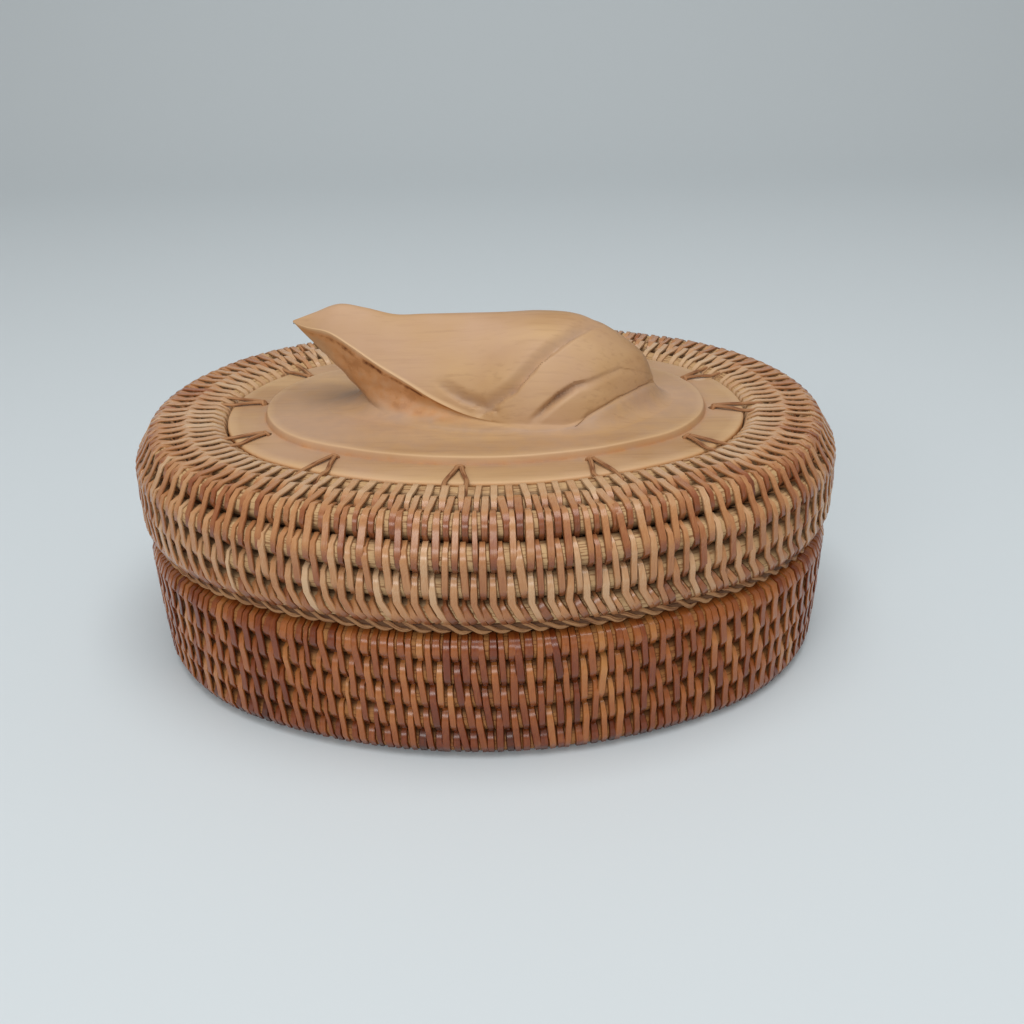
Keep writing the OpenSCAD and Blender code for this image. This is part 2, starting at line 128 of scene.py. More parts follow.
def wind_core(name, points, radii):
    """A round core laid along the points, as a mesh that knows where its fibres run."""
    path = bpy.data.curves.new(name, "CURVE")
    path.dimensions = "3D"
    path.twist_mode = "Z_UP"
    path.bevel_depth = mm
    path.bevel_resolution = 2
    strand = path.splines.new("POLY")
    strand.points.add(len(points) - 1)
    for spot, point, radius in zip(strand.points, points, radii):
        spot.co = (*(point * mm), 1)
        spot.radius = radius
    core = bpy.data.objects.new(name, path)
    bpy.context.collection.objects.link(core)
    bpy.ops.object.select_all(action="DESELECT")
    core.select_set(True)
    bpy.context.view_layer.objects.active = core
    bpy.ops.object.convert(target="MESH")
    core = bpy.context.object
    bpy.ops.object.shade_smooth()
    core.name = name
    core.data.name = name
    sides = len(core.data.vertices) // len(points)
    length = 0.0
    before = points[0]
    fibre = core.data.attributes.new("fibre", "FLOAT_VECTOR", "POINT")
    for ring, (point, radius) in enumerate(zip(points, radii)):
        length += (point - before).length
        before = point
        for side in range(sides):
            turn = 2 * math.pi * side / sides
            spot = (length * mm, radius * mm * math.cos(turn), radius * mm * math.sin(turn))
            fibre.data[ring * sides + side].vector = spot
    bpy.ops.object.mode_set(mode="EDIT")
    bpy.ops.mesh.select_all(action="SELECT")
    bpy.ops.mesh.fill_holes(sides=0)
    bpy.ops.object.mode_set(mode="OBJECT")
    core.select_set(False)
    return core


def set_values(node, values):
    for socket, value in values.items():
        node.inputs[socket].default_value = value


def add_node(tree, kind, values=None, operation=None):
    """A shader node with the given values on its sockets, and its operation if it has one."""
    node = tree.nodes.new("ShaderNode" + kind)
    if operation:
        node.operation = operation
    set_values(node, values or {})
    return node


def add_mix(tree, values=None, blend="MIX"):
    """A mix of two colours: socket 0 takes the share of the second, 6 and 7 the colours."""
    mix = add_node(tree, "Mix", values)
    mix.data_type = "RGBA"
    mix.blend_type = blend
    return mix


def add_mask(tree, name):
    """The values that the mesh keeps under this name."""
    mask = add_node(tree, "Attribute")
    mask.attribute_name = name
    return mask


def add_ramp(tree, *stops):
    """A colour ramp through the stops, each a position and a colour."""
    ramp = add_node(tree, "ValToRGB")
    elements = ramp.color_ramp.elements
    for k, (position, colour) in enumerate((stops[0], stops[-1])):
        elements[k].position = position
        elements[k].color = colour
    for position, colour in stops[1:-1]:
        elements.new(position).color = colour
    return ramp


def add_links(tree, *links):
    """Links, each from an output of one node to an input of another."""
    for start, output, finish, socket in links:
        tree.links.new(start.outputs[output], finish.inputs[socket])


def new_group(name, colours, outputs):
    """A node group that takes in colours, with its first and its last node."""
    group = bpy.data.node_groups.new(name, "ShaderNodeTree")
    for socket in colours:
        group.interface.new_socket(socket, in_out="INPUT", socket_type="NodeSocketColor")
    for socket in outputs:
        kind = "NodeSocketColor" if socket == "Color" else "NodeSocketFloat"
        group.interface.new_socket(socket, in_out="OUTPUT", socket_type=kind)
    return group, group.nodes.new("NodeGroupInput"), group.nodes.new("NodeGroupOutput")


def new_material(name, values=None):
    """A material, its node tree and its shader with the given values."""
    material = bpy.data.materials.new(name)
    material.use_nodes = True
    shader = material.node_tree.nodes["Principled BSDF"]
    set_values(shader, values or {})
    return material, material.node_tree, shader


def fibre_group():
    """Bare rattan: cloudy straw colour, fine dark fibre lines, and painted shade in the creases between
    turns.
    """
    group, enter, leave = new_group("rattan fibre", ["Straw", "Shade"], ["Color", "Roughness", "Height"])
    fibre = add_mask(group, "fibre")
    crease = add_mask(group, "crease")
    place = add_node(group, "TexCoord")
    stretch = add_node(group, "Mapping", {"Scale": (160, 2300, 2300)})
    lines = add_node(group, "TexNoise", {"Scale": 1, "Detail": 2})
    thin = add_ramp(group, (0.36, (0.34, 0.17, 0.08, 1)), (0.48, (1, 1, 1, 1)))
    cloud = add_node(group, "TexNoise", {"Scale": 190, "Detail": 5})
    body = add_mix(group)
    marked = add_mix(group, {0: 0.7}, "MULTIPLY")
    # Painted shade: near the crease between turns the colour is mixed towards almost black.
    shadow = add_node(group, "MapRange", {"From Min": 0.5, "From Max": 0.95, "To Max": 0.9})
    crease_painted_shade = add_mix(group, {7: (0.045, 0.014, 0.004, 1)})
    rough = add_node(group, "MapRange", {"To Min": 0.5, "To Max": 0.75})
    add_links(
        group,
        (fibre, "Vector", stretch, "Vector"),
        (stretch, "Vector", lines, "Vector"),
        (lines, "Fac", thin, "Fac"),
        (place, "Object", cloud, "Vector"),
        (cloud, "Fac", body, 0),
        (enter, "Shade", body, 6),
        (enter, "Straw", body, 7),
        (body, 2, marked, 6),
        (thin, "Color", marked, 7),
        (crease, "Fac", shadow, "Value"),
        (shadow, "Result", crease_painted_shade, 0),
        (marked, 2, crease_painted_shade, 6),
        (crease_painted_shade, 2, leave, "Color"),
        (cloud, "Fac", rough, "Value"),
        (rough, "Result", leave, "Roughness"),
        (lines, "Fac", leave, "Height"),
    )
    return group


rattan_fibre = fibre_group()


def core_material(name, straw, shade):
    """Rattan without its skin, in two shades of straw."""
    material, tree, shader = new_material(name, {"Specular IOR Level": 0.3})
    fibre = add_node(tree, "Group")
    fibre.node_tree = rattan_fibre
    set_values(fibre, {"Straw": straw, "Shade": shade})
    bump = add_node(tree, "Bump", {"Strength": 0.4, "Distance": 0.0002})
    add_links(
        tree,
        (fibre, "Color", shader, "Base Color"),
        (fibre, "Roughness", shader, "Roughness"),
        (fibre, "Height", bump, "Height"),
        (bump, "Normal", shader, "Normal"),
    )
    return material


core_of_base = core_material("rattan core of the base", (0.46, 0.215, 0.065, 1), (0.26, 0.085, 0.022, 1))
floor_points = [floor_at(min(i / 60, floor_turns - 0.0001)) for i in range(60 * floor_turns + 1)]
floor_coil = wind_core("floor_coil", floor_points, [floor_radius] * len(floor_points))
floor_coil.data.materials.append(core_of_base)
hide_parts("base_floor")
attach(floor_coil, "base")

# Floor stitches: flat splints of rattan skin that bind each turn of the floor to
# the turn inside it. Each is drawn tight through the turn before it and its ends are
# caught under the next ones.
splint_width = 2.1
splint_thick = 0.55
flat_share = 0.36
stitch_pitch = 4.4
# Painted light on each splint's tone: painted shade at its lower end, where it dives between the turns,
# and a painted highlight towards its top.
painted_end_shade = 0.30
painted_top_highlight = 0.12
up = Vector((0, 0, 1))
dice = random.Random(7)


def bend_splint(name, radius, run, width, thick, dip):
    """One splint bent into a closed loop round two cores that lie run apart, or round one."""
    bpy.ops.mesh.primitive_circle_add(vertices=4, radius=1, fill_type="NOTHING", location=(0, 0, 0))
    splint = bpy.context.object
    splint.name = name
    section = [(0, -0.5), (0.8, -flat_share), (0.8, flat_share), (0, 0.5)]
    for corner, (out, across) in zip(splint.data.vertices, section):
        corner.co = Vector((radius + out * thick, across * width, -run / 2)) * mm
    bpy.ops.object.mode_set(mode="EDIT")
    bpy.ops.mesh.select_all(action="SELECT")
    if run:
        for _ in range(4):
            bpy.ops.mesh.extrude_region_move(TRANSFORM_OT_translate={"value": (0, 0, run / 4 * mm)})
    bpy.ops.mesh.spin(steps=4, angle=math.pi, center=(0, 0, run / 2 * mm), axis=(0, 1, 0))
    if run:
        bpy.ops.mesh.extrude_region_move(TRANSFORM_OT_translate={"value": (0, 0, -run * mm)})
    bpy.ops.mesh.spin(steps=4, angle=math.pi, center=(0, 0, -run / 2 * mm), axis=(0, 1, 0))
    bpy.ops.mesh.select_all(action="SELECT")
    bpy.ops.mesh.remove_doubles(threshold=0.00002)
    bpy.ops.mesh.normals_make_consistent(inside=False)
    bpy.ops.object.mode_set(mode="OBJECT")
    bpy.ops.object.shade_smooth()
    for edge in splint.data.edges:
        start, finish = (splint.data.vertices[corner].co.y / (width * mm) for corner in edge.vertices)
        edge.use_edge_sharp = abs(start - finish) < 0.01 and abs(abs(start) - flat_share) < 0.02
    tone = splint.data.attributes.new("tone", "FLOAT", "POINT")
    for corner, shade in zip(splint.data.vertices, tone.data):
        height = corner.co.z / mm
        beyond = ease((abs(height) - run / 2) / radius)
        corner.co.y *= 1 - 0.15 * beyond
        if corner.co.x > 0 and abs(height) < run / 2:
            corner.co.x -= dip * mm * math.cos(height / run * math.pi) ** 2
        # Painted shade at the lower end and a painted highlight towards the top.
        shade.value = beyond * (painted_end_shade if height < 0 else 0)
        if run:
            shade.value -= painted_top_highlight * ease(height / run + 0.2)
    skin = splint.data.uv_layers.new(name="splint")
    for loop in splint.data.loops:
        spot = splint.data.vertices[loop.vertex_index].co / mm
        skin.data[loop.index].uv = (spot.y / width + 0.5, spot.z / (run + 2 * radius) + 0.5)
    splint.select_set(False)
    return splint


def join_pieces(name, pieces):
    """The pieces joined to one, under the given name."""
    bpy.ops.object.select_all(action="DESELECT")
    for piece in pieces:
        piece.select_set(True)
    bpy.context.view_layer.objects.active = pieces[0]
    bpy.ops.object.join()
    whole = bpy.context.object
    whole.name = name
    whole.data.name = name
    return whole


def join_copies(name, pattern, places):
    """Copies of one pattern at the given places, each with its own tone, joined to one piece."""
    own = [0.0] * len(pattern.data.vertices)
    pattern.data.attributes["tone"].data.foreach_get("value", own)
    copies = []
    for place, tone in places:
        copy = pattern.copy()
        copy.data = pattern.data.copy()
        copy.matrix_world = place
        copy.data.attributes["tone"].data.foreach_set("value", [tone + shade for shade in own])
        bpy.context.collection.objects.link(copy)
        copies.append(copy)
    whole = join_pieces(name, copies)
    bpy.ops.object.transform_apply(location=True, rotation=True, scale=True)
    whole.select_set(False)
    return whole


def turned_to(middle, facing, sideways, rise):
    """Place in metres of a pattern whose X faces out, Y runs with the coil and Z across it."""
    turn = Matrix((facing, sideways, rise)).transposed().to_4x4()
    return Matrix.Translation(middle * mm) @ turn


def skin_group():
    """Rattan skin: its tone changes from splint to splint, with streaks and gloss along it, and each
    splint's painted shade at the lower end and painted highlight at the top.
    """
    group, _, leave = new_group("rattan skin", [], ["Tone", "Roughness", "Coat", "Height"])
    tone = add_mask(group, "tone")
    skin = add_node(group, "UVMap")
    skin.uv_map = "splint"
    place = add_node(group, "TexCoord")
    long = add_node(group, "Mapping", {"Scale": (6, 2, 1)})
    apart = add_node(group, "VectorMath", {1: (37, 37, 37)}, "MULTIPLY_ADD")
    streak = add_node(group, "TexNoise", {"Scale": 1.5, "Detail": 4})
    cloud = add_node(group, "TexNoise", {"Scale": 45, "Detail": 3})
    part = add_node(group, "Math", {1: 0.45}, "MULTIPLY_ADD")
    patch = add_node(group, "Math", {1: 0.5}, "MULTIPLY_ADD")
    level = add_node(group, "Math", {1: 0.475}, "SUBTRACT")
    rough = add_node(group, "MapRange", {"To Min": 0.20, "To Max": 0.42})
    coat = add_node(group, "MapRange", {"To Min": 0.75, "To Max": 0.15})
    add_links(
        group,
        (skin, "UV", long, "Vector"),
        (tone, "Vector", apart, 0),
        (long, "Vector", apart, 2),
        (apart, "Vector", streak, "Vector"),
        (place, "Object", cloud, "Vector"),
        (streak, "Fac", part, 0),
        (tone, "Fac", part, 2),
        (cloud, "Fac", patch, 0),
        (part, 0, patch, 2),
        (patch, 0, level, 0),
        (level, 0, leave, "Tone"),
        (streak, "Fac", rough, "Value"),
        (rough, "Result", leave, "Roughness"),
        (cloud, "Fac", coat, "Value"),
        (coat, "Result", leave, "Coat"),
        (streak, "Fac", leave, "Height"),
    )
    return group


rattan_skin = skin_group()


def splint_material(name, colours):
    """Split rattan with its glossy skin, in four colours from pale to dark."""
    gloss = {"Specular IOR Level": 0.35, "Coat Roughness": 0.2}
    material, tree, shader = new_material(name, gloss)
    skin = add_node(tree, "Group")
    skin.node_tree = rattan_skin
    ramp = add_ramp(tree, *zip((0, 0.3, 0.62, 1), colours))
    bump = add_node(tree, "Bump", {"Strength": 0.25, "Distance": 0.00015})
    add_links(
        tree,
        (skin, "Tone", ramp, "Fac"),
        (ramp, "Color", shader, "Base Color"),
        (skin, "Roughness", shader, "Roughness"),
        (skin, "Coat", shader, "Coat Weight"),
        (skin, "Height", bump, "Height"),
        (bump, "Normal", shader, "Normal"),
    )
    return material


wall_skin = splint_material(
    "rattan splint of the base",
    [
        (0.51, 0.228, 0.066, 1),
        (0.375, 0.114, 0.025, 1),
        (0.19, 0.037, 0.0065, 1),
        (0.05, 0.0095, 0.0025, 1),
    ],
)
floor_splint = bend_splint("floor_splint", floor_radius, floor_pitch, splint_width, 0.45, 0.2)
places = []
turns = 0.5
while turns < floor_turns - 0.02:
    here = floor_at(turns)
    inner = min(
        (floor_at(max(0.0, turns - 1 + step / 80)) for step in range(-24, 25)),
        key=lambda point: (point - here).length,
    )
    if turns < 1.0:
        inner = Vector((here.x, -here.y, here.z))
    across = (here - inner).normalized()
    sideways = across.cross(up).normalized()
    middle = (here + inner) / 2
    tall = min(1.0, (here - inner).length / floor_pitch)
    squeeze = Matrix.Diagonal((1, dice.uniform(0.9, 1.1), tall, 1))
    facing = sideways.cross(across)
    places.append((turned_to(middle, facing, sideways, across) @ squeeze, dice.uniform(0.4, 0.7)))
    half = floor_first + floor_pitch * floor_step(turns)
    turns += stitch_pitch / (2 * math.pi * half + 4 * longer)
floor_stitches = join_copies("floor_stitches", floor_splint, places)
bpy.data.objects.remove(floor_splint)
floor_stitches.data.materials.append(wall_skin)
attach(floor_stitches, "base")

# Wall of the base: five level turns of the same core, one above the other. Each
# turn steps up to the next behind the figure. The core's ends are shaved thin there,
# so that foot and rim are level.
end_radius = half_width + longer - end_centre
wall_radius = side_radius(half_width, end_centre)
side_centre = wall_radius - half_width
end_half = math.atan2(side_centre, end_centre)
rim_set_in = 4.3
rim_oval = (end_radius - rim_set_in, wall_radius - rim_set_in, end_half)
round_run = oval_length(*rim_oval)
step_share = step_length / round_run
base_turns = [(rim_set_in + 0.8 * (1 - k / 4) ** 2, foot_height + pitch * k) for k in range(5)]


def normal_at(share):
    """Angle of the wall's outward normal after a share of a round that starts at the back."""
    return oval_normal(share, *rim_oval)


def on_oval(angle, set_in, height):
    """Point of the oval that lies this far inside the outline, where its normal has the angle."""
    end = end_radius - set_in
    side = wall_radius - set_in
    return Vector((*oval_point(angle, end_centre, end, side, side_centre, end_half), height))


def wound(turns, count):
    """Set-in, height and radius of a coil's core after a number of turns. Both its ends are
    shaved thin, and lie in the wedge where the turn beside them steps past."""
    last = len(turns) - 1
    k = min(max(int(count), 0), last)
    here = Vector(turns[k])
    rise = ease((count % 1 - 1 + step_share) / step_share)
    if count < 0 or k == last:
        room = rise if count < 0 else 1 - rise
        beside = Vector(turns[1 if count < 0 else last - 1])
        radius = min(core_radius, max(0.3, pitch * room / 2))
        spot = here + (here - beside).normalized() * (core_radius - radius)
        return spot.x, spot.y, radius
    there = Vector(turns[k + 1])
    before = Vector(turns[k - 1]) if k > 0 else 2 * here - there
    after = Vector(turns[k + 2]) if k + 1 < last else 2 * there - here
    swing = (here - before + there - after) * 0.7
    spot = here + (there - here) * rise + swing * rise * (1 - rise)
    return spot.x, spot.y, core_radius


def wind_turn(name, turns, k, pieces=160):
    """Turn k of a coil. It keeps how near each point lies to the crease beside the next turn."""
    last = len(turns) - 1
    start = -0.95 * step_share if k == 0 else 0
    reach = 1 - 0.05 * step_share if k == last else 1
    points = []
    radii = []
    beside = []
    for i in range(pieces + 1):
        share = start + (reach - start) * i / pieces
        angle = normal_at(share)
        set_in, height, radius = wound(turns, k + share)
        points.append(on_oval(angle, set_in, height))
        radii.append(radius)
        counts = [k + share + way for way in (-1, 1) if -step_share < k + share + way < last + 1]
        beside.append([on_oval(angle, *wound(turns, count)[:2]) for count in counts])
    turn = wind_core(name, points, radii)
    sides = len(turn.data.vertices) // len(points)
    # How near each point lies to the crease; the core's colour is painted darker there as shade.
    crease = turn.data.attributes.new("crease", "FLOAT", "POINT")
    for corner in turn.data.vertices:
        ring = min(corner.index // sides, pieces)
        away = (corner.co / mm - points[ring]).normalized()
        near = [away.dot((spot - points[ring]).normalized()) for spot in beside[ring]]
        crease.data[corner.index].value = max(near, default=0)
    return turn


for k in range(5):
    turn = wind_turn(f"wall_turn_{k + 1}", base_turns, k)
    turn.data.materials.append(core_of_base)
    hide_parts(f"base_row_{k + 1}")
    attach(turn, "base")

# Stitches of the base: flat splints of rattan skin, drawn tight round a turn and the
# one below it. Each family sits a little to one side of the last. They are glossy,
# and darker and redder than the core that shows between them.
family_shift = 0.42
stitches_round = int(round_run / stitch_pitch) + 1 - family_shift


def sew_round(name, splint, turns, k, sewn, offset, lean, tone, spread):
    """One splint all round turn k, each copy a little different: up to the next turn, down or alone."""
    alone = sewn == "alone"
    first = -step_share if k == (0 if alone else 1) else 0
    places = []
    for i in range(math.floor(first * stitches_round), math.ceil(stitches_round)):
        share = (i + offset % 1 + dice.uniform(-0.07, 0.07)) / stitches_round
        set_in, height, radius = wound(turns, k + share)
        if not first <= share < 1 or (alone and radius < 0.5 * core_radius):
            continue
        angle = normal_at(share)
        outward = Vector((math.cos(angle), math.sin(angle), 0))
        sideways = up.cross(outward)
        middle = on_oval(angle, set_in, height)
        rise = up.copy()
        deep = tall = radius / core_radius
        if not alone:
            set_in, height, thin = wound(turns, k - 1 + share)
            before = on_oval(angle, set_in, height)
            span = (middle - before).length
            rise = (middle - before) / span
            middle = (before + middle + rise * (radius - thin)) / 2
            deep = 1
            tall = (span + radius + thin) / (pitch + 2 * core_radius)
        if sewn == "down":
            rise.negate()
        tilt = Matrix.Rotation(math.radians(lean + dice.gauss(0, 2.5)), 4, "X")
        wide = dice.uniform(0.84, 1.12) * (0.7 if dice.random() < 0.04 else 1)
        size = Matrix.Diagonal((dice.uniform(1.0, 1.05) * deep, wide, tall, 1))
        place = turned_to(middle, sideways.cross(rise), sideways, rise) @ tilt @ size
        places.append((place, tone + dice.gauss(0, spread)))
    return join_copies(name, splint, places)


long_splint = bend_splint("long_splint", core_radius, pitch, splint_width, splint_thick, 0.15)
for k, tone in enumerate((0.44, 0.52, 0.42, 0.58), 1):
    name = f"wall_stitches_{k + 1}"
    family = sew_round(name, long_splint, base_turns, k, "up", k * family_shift, 3, tone, 0.11)
    family.data.materials.append(wall_skin)
    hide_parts(f"base_stitches_{k + 1}")
    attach(family, "base")

# Rim and foot wraps: short loops of the same splint round the rim turn alone, between
# the long stitches, so that the rim is closed over almost all round. The foot turn
# has them too, where the stitches of the floor come up.
short_splint = bend_splint("short_splint", core_radius, 0, 2.35, splint_thick, 0)
rim_offset = 4 * family_shift + 0.5
rim_wraps = sew_round("rim_wraps", short_splint, base_turns, 4, "alone", rim_offset, 2, 0.42, 0.11)
rim_wraps.data.materials.append(wall_skin)
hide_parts("base_rim_wraps")
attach(rim_wraps, "base")
foot_wraps = sew_round("foot_wraps", short_splint, base_turns, 0, "alone", 0, 3, 0.62, 0.12)
foot_wraps.data.materials.append(wall_skin)
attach(foot_wraps, "base")

# Collar: a flat strip of rattan bent round inside the rim. It stands above the rim
# and keeps the lid in place. On the real box its ends overlap behind the figure; here it is one closed
# ring.
collar_set_in = 8.15
collar_low = 23.78
collar_high = 44.78
collar_thick = 1.6


def oval_shell(name, rings, pieces, closed):
    """A stack of ovals, each given by its set-in and height, skinned from the first to the last."""
    bpy.ops.mesh.primitive_circle_add(
        vertices=pieces, radius=1, fill_type="NGON" if closed else "NOTHING", location=(0, 0, 0)
    )
    shell = bpy.context.object
    shell.name = name
    bpy.ops.object.mode_set(mode="EDIT")
    bpy.ops.mesh.select_all(action="SELECT")
    for _ in rings[1:]:
        bpy.ops.mesh.extrude_region_move(TRANSFORM_OT_translate={"value": (0, 0, 1)})
    bpy.ops.object.mode_set(mode="OBJECT")
    for corner in shell.data.vertices:
        set_in, height = rings[round(corner.co.z)]
        share = math.atan2(corner.co.y, corner.co.x) / (2 * math.pi)
        corner.co = on_oval(normal_at(share), set_in, height) * mm
    bpy.ops.object.mode_set(mode="EDIT")
    bpy.ops.mesh.select_all(action="SELECT")
    bpy.ops.mesh.normals_make_consistent(inside=False)
    bpy.ops.object.mode_set(mode="OBJECT")
    return shell


collar = oval_shell("collar", [(collar_set_in, collar_low), (collar_set_in, collar_high)], 128, False)
thickness = collar.modifiers.new("thickness", "SOLIDIFY")
thickness.thickness = collar_thick * mm
thickness.offset = -1
edges = collar.modifiers.new("edges", "BEVEL")
edges.width = 0.4 * mm
edges.segments = 2
bpy.ops.object.modifier_apply(modifier="thickness")
bpy.ops.object.modifier_apply(modifier="edges")
bpy.ops.object.shade_smooth_by_angle(angle=math.radians(35))
strip_skin, tree, shader = new_material("rattan strip")
place = add_node(tree, "TexCoord")
level = add_node(tree, "Mapping", {"Scale": (18, 18, 900)})
streak = add_node(tree, "TexNoise", {"Scale": 1, "Detail": 5})
colours = add_ramp(tree, (0.3, (0.26, 0.115, 0.04, 1)), (0.7, (0.50, 0.29, 0.12, 1)))
rough = add_node(tree, "MapRange", {"To Min": 0.38, "To Max": 0.6})
bump = add_node(tree, "Bump", {"Strength": 0.3, "Distance": 0.0002})
add_links(
    tree,
    (place, "Object", level, "Vector"),
    (level, "Vector", streak, "Vector"),
    (streak, "Fac", colours, "Fac"),
    (colours, "Color", shader, "Base Color"),
    (streak, "Fac", rough, "Value"),
    (rough, "Result", shader, "Roughness"),
    (streak, "Fac", bump, "Height"),
    (bump, "Normal", shader, "Normal"),
)
collar.data.materials.append(strip_skin)
collar.select_set(False)
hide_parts("base_collar")
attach(collar, "base")

# Lid coil: six turns of core. Three lie flat round the panel, one makes the
# shoulder, and two stand below it as the lid's side.
lid_turns = [(3.62, 44.02), (3.5, 51.17)]
for fall in (88, 58, 1, -4):
    set_in, height = lid_turns[-1]
    fall = math.radians(fall)
    lid_turns.append((set_in + pitch * math.cos(fall), height + pitch * math.sin(fall)))
lid_turns.reverse()
core_of_lid = core_material("rattan core of the lid", (0.60, 0.40, 0.20, 1), (0.43, 0.245, 0.11, 1))
for k, letter in enumerate("abcdef"):
    turn = wind_turn(f"lid_turn_{letter}", lid_turns, k)
    turn.data.materials.append(core_of_lid)
    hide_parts(f"lid_row_{letter}")
    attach(turn, "lid")

# Lid stitches: the same splints as on the wall, paler on top where light and
# handling have bleached them. Those of the lowest turn lean towards the border.
splint_skin = splint_material(
    "rattan splint of the lid",
    [(0.60, 0.39, 0.22, 1), (0.47, 0.22, 0.088, 1), (0.275, 0.082, 0.028, 1), (0.082, 0.021, 0.009, 1)],
)
slant = 0.42
slanted_splint = long_splint.copy()
slanted_splint.data = long_splint.data.copy()
bpy.context.collection.objects.link(slanted_splint)
for corner in slanted_splint.data.vertices:
    corner.co.y -= slant * min(corner.co.z, 0)
lid_families = [
    ("b", 0, 0.14, 0.06),
    ("c", 0, 0.30, 0.08),
    ("d", 1, 0.42, 0.1),
    ("e", 3, 0.42, 0.1),
    ("f", 2, 0.32, 0.09),
]
for k, (letter, lean, tone, spread) in enumerate(lid_families, 1):
    name = f"lid_stitches_of_{letter}"
    splint = slanted_splint if letter == "f" else long_splint
    family = sew_round(name, splint, lid_turns, k, "down", k * (family_shift + 0.03), lean, tone, spread)
    family.data.materials.append(splint_skin)
    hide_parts(f"lid_stitches_{letter}")
    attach(family, "lid")
bpy.data.objects.remove(long_splint)
bpy.data.objects.remove(slanted_splint)

# Border of the lid: two thin splints twisted round each other along the lower edge,
# like a chain, over a thin strand. The strand is painted almost black, as painted shade
# between the chain and the lowest turn. Short brown loops round the lowest turn lead
# down into the chain and hold it.
border_height = 38.43
border_set_in = lid_turns[5][0]
strand_radius = 1.35
strand_set_in = border_set_in - 0.2
strand_height = border_height + 0.85
strand = [on_oval(normal_at(i / 140), strand_set_in, strand_height) for i in range(141)]
border = wind_core("border_strand", strand, [strand_radius] * len(strand))
# The strand's near-black colour is painted shade.
strand_painted_shade = core_material("rattan in shade", (0.16, 0.07, 0.025, 1), (0.08, 0.03, 0.01, 1))
border.data.materials.append(strand_painted_shade)
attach(border, "lid")

links_round = 112
link_steps = 8
chain_set_in = border_set_in - 1.1
chain_height = border_height + 0.7
chain_deep = 0.55
chain_tall = 0.95
chain_radius = 0.6
chain_flat = 0.45
chain = []
for way in (1, -1):
    strand = []
    for i in range(links_round * link_steps + 1):
        turn = math.pi * i / link_steps
        loose = 1 + 0.5 * noise.noise(Vector((i * 0.12, way * 5.3, 0.5)))
        set_in = chain_set_in - way * chain_deep * math.sin(turn)
        height = chain_height + way * chain_tall * loose * math.cos(turn)
        angle = normal_at(i / (links_round * link_steps))
        strand.append(on_oval(angle, set_in, height))
    splint = wind_core("border_splint", strand, [chain_radius] * len(strand))
    sides = len(splint.data.vertices) // len(strand)
    for corner in splint.data.vertices:
        spot = strand[corner.index // sides] * mm
        away = corner.co - spot
        flat = Vector((spot.x, spot.y, 0)).normalized()
        corner.co -= flat * away.dot(flat) * chain_flat
    chain.append(splint)
plait = join_pieces("border_plait", chain)
plait.select_set(False)
chain_skin = core_material("rattan border", (0.52, 0.29, 0.13, 1), (0.23, 0.085, 0.03, 1))
plait.data.materials.append(chain_skin)
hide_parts("lid_braid")
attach(plait, "lid")

loop_skin = splint_material(
    "rattan loop",
    [(0.60, 0.36, 0.18, 1), (0.46, 0.21, 0.08, 1), (0.28, 0.095, 0.035, 1), (0.09, 0.026, 0.012, 1)],
)
loop_offset = 5 * (family_shift + 0.03) + 0.75
loops = sew_round("border_loops", short_splint, lid_turns, 5, "alone", loop_offset, 30, 0.5, 0.12)
bpy.data.objects.remove(short_splint)
loops.data.materials.append(loop_skin)
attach(loops, "lid")

# Carved panel: one block of pale wood. A flat ledge runs round a raised field, and
# out of the field rises a crouching animal with a lifted snout and folded hind legs,
# cut with a knife and waxed. Holes at the foot of the field take the ties.
ledge_set_in = 25.85
ledge_height = 66.91
ledge_thick = 5.0
field_foot = 36.66
field_height = ledge_height + 2
hole_set_in = field_foot - 1.9

# Rings of the panel from its underside to the field: set-in and height, then how dusty,
# how worn and how much darker each is
panel_rings = [
    (ledge_set_in + 0.8, ledge_height - ledge_thick, 0, 0, 0.6),
    (ledge_set_in, ledge_height - ledge_thick + 0.8, 0, 0, 0.9),
    (ledge_set_in, ledge_height - 0.9, 0, 0, 0.9),
    (ledge_set_in + 0.2, ledge_height - 0.3, 0, 0.5, 0.3),
    (ledge_set_in + 0.8, ledge_height, 0, 0.4, 0),
    (ledge_set_in + 3.5, ledge_height, 0.05, 0, 0),
    (field_foot - 3.4, ledge_height, 0.1, 0, 0),
    (field_foot - 0.7, ledge_height - 0.02, 0.55, 0, 0.1),
    (field_foot - 0.1, ledge_height + 0.02, 0.7, 0, 0.7),
    (field_foot + 0.1, ledge_height + 0.3, 0.4, 0, 0.6),
    (field_foot + 0.5, ledge_height + 1.5, 0.1, 0.1, 0.1),
    (field_foot + 0.75, ledge_height + 1.85, 0, 0.5, 0),
    (field_foot + 1.3, field_height, 0.15, 0.2, 0),
    (field_foot + 3.0, field_height, 0.35, 0, 0),
    (field_foot + 6.0, field_height, 0.35, 0, 0),
]
panel_pieces = 160
board = oval_shell("carved_lid_panel", [ring[:2] for ring in panel_rings], panel_pieces, True)
for mask, column in (("hollow", 2), ("worn", 3), ("stain_and_shade", 4)):
    layer = board.data.attributes.new(mask, "FLOAT", "POINT")
    for corner in board.data.vertices:
        layer.data[corner.index].value = panel_rings[corner.index // panel_pieces][column]
for corner in board.data.vertices:
    wave = noise.noise(corner.co * 45) * 0.35 + noise.noise(corner.co * 140) * 0.15
    corner.co += Vector((wave, wave * 0.6, 0)) * mm * 0.5
    if corner.co.z > (ledge_height - 1) * mm:
        corner.co.z += noise.noise(corner.co * 80) * 0.12 * mm
bpy.ops.object.shade_smooth_by_angle(angle=math.radians(50))
board.select_set(False)

